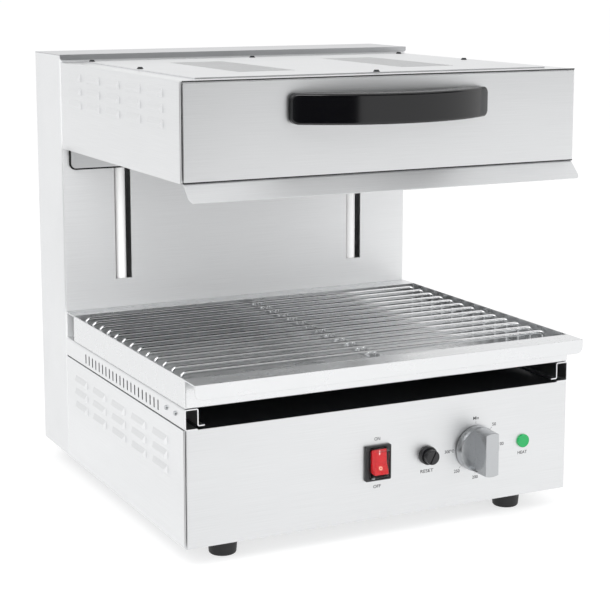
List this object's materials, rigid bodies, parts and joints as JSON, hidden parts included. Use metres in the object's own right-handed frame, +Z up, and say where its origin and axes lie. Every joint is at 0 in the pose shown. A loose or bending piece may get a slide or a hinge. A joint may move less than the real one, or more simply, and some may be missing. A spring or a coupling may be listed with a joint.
{
  "type": "cheese melter",
  "caption": "Countertop cheese melter: a stainless grill head that rises and falls on a rear column over a wire rack in a drip tray, with a control box below.",
  "frame": {"origin": "centre of the object's outline on the plane that its feet stand on", "axes": "+Z up, -Y towards the user's side with the controls, +X to the user's right when facing the controls"},
  "size_m": [0.4556, 0.509, 0.4902],
  "materials": {
    "brushed_stainless": "fine-brushed stainless sheet, bright at the folds",
    "polished_stainless": "bright-rolled stainless sheet, nearly mirror smooth",
    "galvanised_steel": "plain galvanised steel of brackets and plates inside",
    "dark_deck": "matt black heat-resistant paint",
    "chromed_wire": "bright chromed steel wire and rod",
    "black_plastic": "glossy black moulded phenolic plastic",
    "knob_silver": "silver-lacquered moulded plastic",
    "switch_plastic": "satin black moulded plastic",
    "rocker_red": "red translucent moulded plastic",
    "boot_clear": "clear grey flexible plastic cover",
    "lamp_green": "green transparent lens",
    "foot_rubber": "matt black moulded rubber",
    "screw_steel": "bright steel screws and pins",
    "dark_screw": "black-oxidised steel screws",
    "element_metal": "dark heat-oxidised steel tube",
    "steatite": "off-white unglazed steatite",
    "mineral_wool": "pale pressed mineral fibre",
    "bronze": "sintered bronze bearing",
    "brass_terminal": "plain brass contacts",
    "strut_black": "satin black enamel on a steel tube",
    "pale_moulding": "pale moulded housing of a control inside"
  },
  "bodies": {
    "root": {"back_cover": "brushed_stainless", "back_cover_screws": "screw_steel", "base_deck": "dark_deck", "base_floor": "galvanised_steel", "base_left_panel": "brushed_stainless", "base_right_panel": "brushed_stainless", "cable_gland": "switch_plastic", "column_cap": "brushed_stainless", "column_shell": "brushed_stainless", "foot_bolts": "screw_steel", "foot_front_left": "foot_rubber", "foot_front_right": "foot_rubber", "foot_rear_left": "foot_rubber", "foot_rear_right": "foot_rubber", "front_panel": "brushed_stainless", "gland_nut": "galvanised_steel", "guide_rods": "chromed_wire", "lamp_holder": "switch_plastic", "lamp_lens": "lamp_green", "reset_cutout": "switch_plastic", "reset_ring": "switch_plastic", "rod_clamps": "galvanised_steel", "strip_screws": "screw_steel", "strut_bottom_pin": "screw_steel", "strut_bracket": "galvanised_steel", "strut_tube": "strut_black", "switch_boot": "boot_clear", "switch_housing": "switch_plastic", "switch_terminals": "brass_terminal", "terminal_block": "pale_moulding", "terminal_screws": "brass_terminal", "thermostat": "pale_moulding", "vent_strip_left": "brushed_stainless", "vent_strip_right": "brushed_stainless"},
    "grill_head": {"head_shell": "brushed_stainless", "head_front": "brushed_stainless", "head_lip": "brushed_stainless", "head_cover": "brushed_stainless", "cover_screws": "dark_screw", "back_plate": "brushed_stainless", "slider_bolts": "screw_steel", "reflector": "polished_stainless", "element_front": "element_metal", "element_rear": "element_metal", "element_clips": "galvanised_steel", "element_bushes": "steatite", "insulation": "mineral_wool", "handle": "black_plastic", "handle_bolts": "screw_steel", "sliders": "galvanised_steel", "slider_bushes": "bronze", "yoke": "galvanised_steel", "strut_rod": "chromed_wire", "strut_top_pin": "screw_steel"},
    "tray": {"drip_tray": "polished_stainless"},
    "rack": {"wire_rack": "chromed_wire"},
    "thermostat_knob": {"knob": "knob_silver", "knob_shaft": "screw_steel"},
    "switch_rocker": {"rocker": "rocker_red"},
    "reset_button": {"reset_cap": "switch_plastic"}
  },
  "joints": [
    {"name": "head_lift", "type": "slide", "parent": "root", "child": "grill_head", "axis": [0, 0, -1], "range_m": [0, 0.14]},
    {"name": "tray_slide", "type": "slide", "parent": "root", "child": "tray", "axis": [0, -1, 0], "range_m": [0, 0.25]},
    {"name": "rack_lift", "type": "slide", "parent": "tray", "child": "rack", "axis": [0, 0, 1], "range_m": [0, 0.025]},
    {"name": "thermostat_turn", "type": "hinge", "parent": "root", "child": "thermostat_knob", "pos_m": [0.1086, -0.2095, 0.0824], "axis": [0, 1, 0], "range_deg": [0, 270]},
    {"name": "rocker_tilt", "type": "hinge", "parent": "root", "child": "switch_rocker", "pos_m": [-0.0112, -0.2075, 0.0824], "axis": [1, 0, 0], "range_deg": [0, 24]},
    {"name": "reset_press", "type": "slide", "parent": "root", "child": "reset_button", "axis": [0, 1, 0], "range_m": [0, 0.003], "stiffness_N_per_m": 400}
  ]
}
